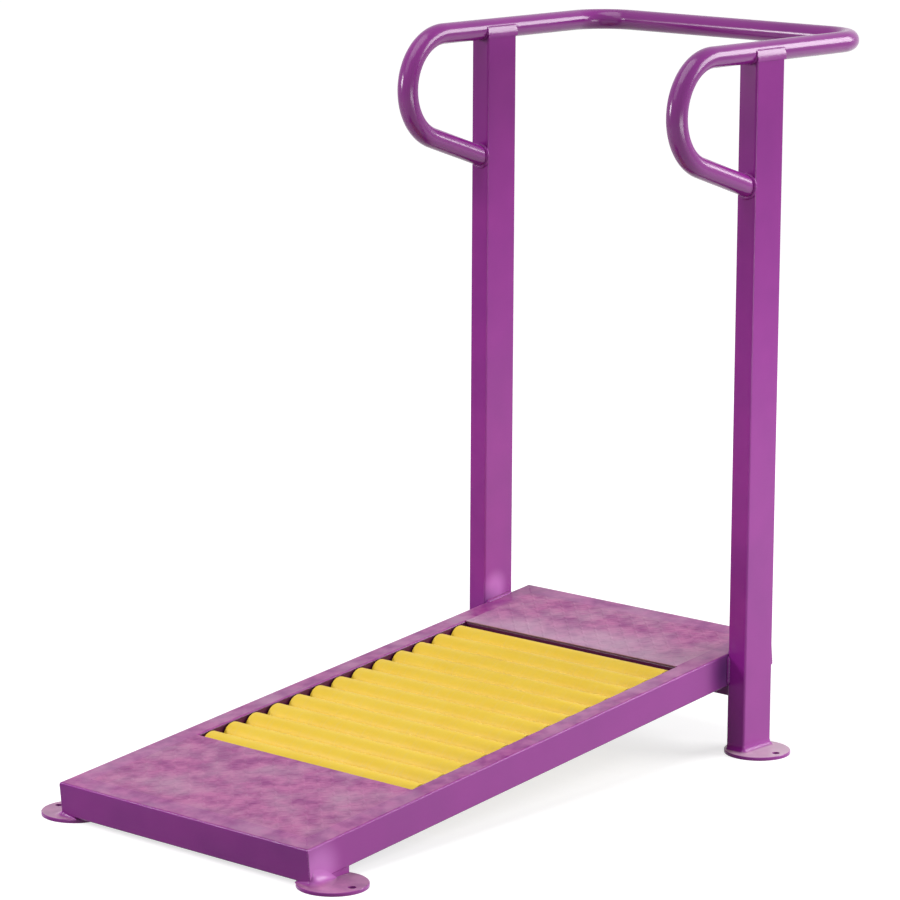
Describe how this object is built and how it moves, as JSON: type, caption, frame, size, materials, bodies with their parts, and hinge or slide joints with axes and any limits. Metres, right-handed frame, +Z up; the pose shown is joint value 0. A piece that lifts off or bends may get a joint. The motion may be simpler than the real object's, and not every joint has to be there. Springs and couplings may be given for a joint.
{
  "type": "outdoor treadmill",
  "caption": "Outdoor treadmill with a sloping tube frame, a bed of free-turning cross rollers between chequered tread plates, two posts and a looped handrail.",
  "frame": {"origin": "on the ground, at the middle of the object's footprint", "axes": "+X to the walker's right, +Y in the walking direction from the low end to the posts, +Z up"},
  "size_m": [0.78, 1.4828, 1.287],
  "materials": {
    "frame_paint": "glossy purple paint",
    "tread_plate": "purple paint on chequered plate, worn pale on the raised pattern",
    "roller_paint": "satin yellow paint",
    "axle_steel": "bright drawn steel",
    "hub_plastic": "black moulded plastic",
    "bearing_steel": "ground bearing steel"
  },
  "bodies": {
    "frame": {"side_rail_left": "frame_paint", "side_rail_right": "frame_paint", "front_rail": "frame_paint", "rear_rail": "frame_paint", "bed_cross_front": "frame_paint", "bed_cross_rear": "frame_paint", "front_plate": "tread_plate", "rear_plate": "tread_plate", "rear_tie": "frame_paint", "post_left": "frame_paint", "post_right": "frame_paint", "post_caps": "frame_paint", "handrail_left": "frame_paint", "handrail_right": "frame_paint", "handrail_cross": "frame_paint", "rear_feet": "frame_paint", "front_feet": "frame_paint", "front_packers": "frame_paint", "roller_axles": "axle_steel", "axle_collars": "axle_steel"},
    "roller_01": {"roller_01_tube": "roller_paint", "roller_01_hubs": "hub_plastic", "roller_01_bearings": "bearing_steel"},
    "roller_02": {"roller_02_tube": "roller_paint", "roller_02_hubs": "hub_plastic", "roller_02_bearings": "bearing_steel"},
    "roller_03": {"roller_03_tube": "roller_paint", "roller_03_hubs": "hub_plastic", "roller_03_bearings": "bearing_steel"},
    "roller_04": {"roller_04_tube": "roller_paint", "roller_04_hubs": "hub_plastic", "roller_04_bearings": "bearing_steel"},
    "roller_05": {"roller_05_tube": "roller_paint", "roller_05_hubs": "hub_plastic", "roller_05_bearings": "bearing_steel"},
    "roller_06": {"roller_06_tube": "roller_paint", "roller_06_hubs": "hub_plastic", "roller_06_bearings": "bearing_steel"},
    "roller_07": {"roller_07_tube": "roller_paint", "roller_07_hubs": "hub_plastic", "roller_07_bearings": "bearing_steel"},
    "roller_08": {"roller_08_tube": "roller_paint", "roller_08_hubs": "hub_plastic", "roller_08_bearings": "bearing_steel"},
    "roller_09": {"roller_09_tube": "roller_paint", "roller_09_hubs": "hub_plastic", "roller_09_bearings": "bearing_steel"},
    "roller_10": {"roller_10_tube": "roller_paint", "roller_10_hubs": "hub_plastic", "roller_10_bearings": "bearing_steel"},
    "roller_11": {"roller_11_tube": "roller_paint", "roller_11_hubs": "hub_plastic", "roller_11_bearings": "bearing_steel"},
    "roller_12": {"roller_12_tube": "roller_paint", "roller_12_hubs": "hub_plastic", "roller_12_bearings": "bearing_steel"},
    "roller_13": {"roller_13_tube": "roller_paint", "roller_13_hubs": "hub_plastic", "roller_13_bearings": "bearing_steel"}
  },
  "joints": [
    {"name": "roller_01_spin", "type": "hinge", "parent": "frame", "child": "roller_01", "pos_m": [0, -0.40813, 0.07482], "axis": [1, 0, 0], "continuous": true},
    {"name": "roller_02_spin", "type": "hinge", "parent": "frame", "child": "roller_02", "pos_m": [0, -0.35343, 0.08057], "axis": [1, 0, 0], "continuous": true},
    {"name": "roller_03_spin", "type": "hinge", "parent": "frame", "child": "roller_03", "pos_m": [0, -0.29873, 0.08632], "axis": [1, 0, 0], "continuous": true},
    {"name": "roller_04_spin", "type": "hinge", "parent": "frame", "child": "roller_04", "pos_m": [0, -0.24403, 0.09206], "axis": [1, 0, 0], "continuous": true},
    {"name": "roller_05_spin", "type": "hinge", "parent": "frame", "child": "roller_05", "pos_m": [0, -0.18934, 0.09781], "axis": [1, 0, 0], "continuous": true},
    {"name": "roller_06_spin", "type": "hinge", "parent": "frame", "child": "roller_06", "pos_m": [0, -0.13464, 0.10356], "axis": [1, 0, 0], "continuous": true},
    {"name": "roller_07_spin", "type": "hinge", "parent": "frame", "child": "roller_07", "pos_m": [0, -0.07994, 0.10931], "axis": [1, 0, 0], "continuous": true},
    {"name": "roller_08_spin", "type": "hinge", "parent": "frame", "child": "roller_08", "pos_m": [0, -0.02524, 0.11506], "axis": [1, 0, 0], "continuous": true},
    {"name": "roller_09_spin", "type": "hinge", "parent": "frame", "child": "roller_09", "pos_m": [0, 0.02946, 0.12081], "axis": [1, 0, 0], "continuous": true},
    {"name": "roller_10_spin", "type": "hinge", "parent": "frame", "child": "roller_10", "pos_m": [0, 0.08416, 0.12656], "axis": [1, 0, 0], "continuous": true},
    {"name": "roller_11_spin", "type": "hinge", "parent": "frame", "child": "roller_11", "pos_m": [0, 0.13886, 0.13231], "axis": [1, 0, 0], "continuous": true},
    {"name": "roller_12_spin", "type": "hinge", "parent": "frame", "child": "roller_12", "pos_m": [0, 0.19356, 0.13806], "axis": [1, 0, 0], "continuous": true},
    {"name": "roller_13_spin", "type": "hinge", "parent": "frame", "child": "roller_13", "pos_m": [0, 0.24826, 0.14381], "axis": [1, 0, 0], "continuous": true}
  ]
}
